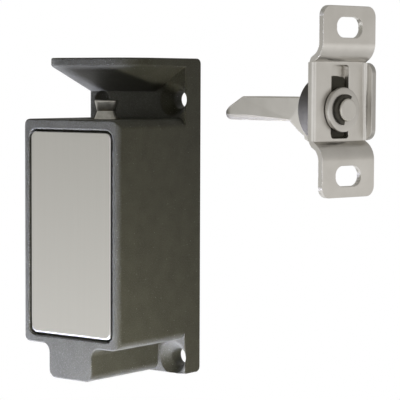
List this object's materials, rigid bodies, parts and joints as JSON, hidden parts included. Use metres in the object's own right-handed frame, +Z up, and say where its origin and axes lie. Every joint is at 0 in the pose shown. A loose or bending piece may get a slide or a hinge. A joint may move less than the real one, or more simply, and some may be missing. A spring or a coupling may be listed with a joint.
{
  "type": "electromagnetic cabinet lock",
  "caption": "Surface-mounted solenoid cabinet lock with a hooded pocket over a spring-loaded bolt, and a slotted keeper plate whose tongue the bolt catches.",
  "frame": {"origin": "centre of the mounting plate's back face", "axes": "+Z up, +Y into the wall that the plate is screwed to, front faces -Y, the keeper's door is at +X"},
  "size_m": [0.0925, 0.0324, 0.0912],
  "materials": {
    "case": "speckled satin charcoal coating on a die-casting",
    "front_cover": "brushed pale nickel",
    "cover_gasket": "black foam",
    "bolt": "turned steel",
    "bolt_collar": "turned steel",
    "armature": "turned soft iron",
    "cross_pin": "hardened steel",
    "return_spring": "spring wire",
    "bolt_bush": "sintered bearing bronze",
    "yoke": "zinc-plated strap",
    "bobbin": "moulded black nylon",
    "coil": "enamelled copper wire",
    "pole_piece": "turned soft iron",
    "stop_pad": "thin rubber disc",
    "yoke_screws": "zinc-plated screws",
    "monitor_switch": "moulded phenolic",
    "switch_lever": "spring steel strip",
    "driver_board": "glass-fibre board",
    "terminal_block": "moulded nylon",
    "outlet_grommet": "black rubber",
    "keeper_plate": "pressed sheet, satin nickel",
    "tongue": "satin nickel",
    "keeper_bumper": "black rubber",
    "keeper_washer": "satin nickel",
    "retaining_ring": "blackened spring steel"
  },
  "bodies": {
    "lock": {"case": "case", "front_cover": "front_cover", "cover_gasket": "cover_gasket", "return_spring": "return_spring", "bolt_bush": "bolt_bush", "yoke": "yoke", "bobbin": "bobbin", "coil": "coil", "pole_piece": "pole_piece", "stop_pad": "stop_pad", "yoke_screws": "yoke_screws", "monitor_switch": "monitor_switch", "switch_lever": "switch_lever", "driver_board": "driver_board", "terminal_block": "terminal_block", "outlet_grommet": "outlet_grommet"},
    "bolt": {"bolt": "bolt", "bolt_collar": "bolt_collar", "armature": "armature", "cross_pin": "cross_pin"},
    "keeper": {"keeper_plate": "keeper_plate"},
    "tongue": {"tongue": "tongue", "keeper_bumper": "keeper_bumper", "keeper_washer": "keeper_washer", "retaining_ring": "retaining_ring"}
  },
  "joints": [
    {"name": "bolt_slide", "type": "slide", "parent": "lock", "child": "bolt", "axis": [0, 0, -1], "range_m": [0, 0.005], "stiffness_N_per_m": 300, "springref_m": -0.008, "deforming": ["return_spring"]},
    {"name": "keeper_swing", "type": "hinge", "parent": "lock", "child": "keeper", "pos_m": [0.0306, -0.2516, 0.02805], "axis": [0, 0, 1], "range_deg": [0, 8]},
    {"name": "tongue_float", "type": "slide", "parent": "keeper", "child": "tongue", "axis": [0, 0, 1], "range_m": [0, 0.0024]}
  ]
}
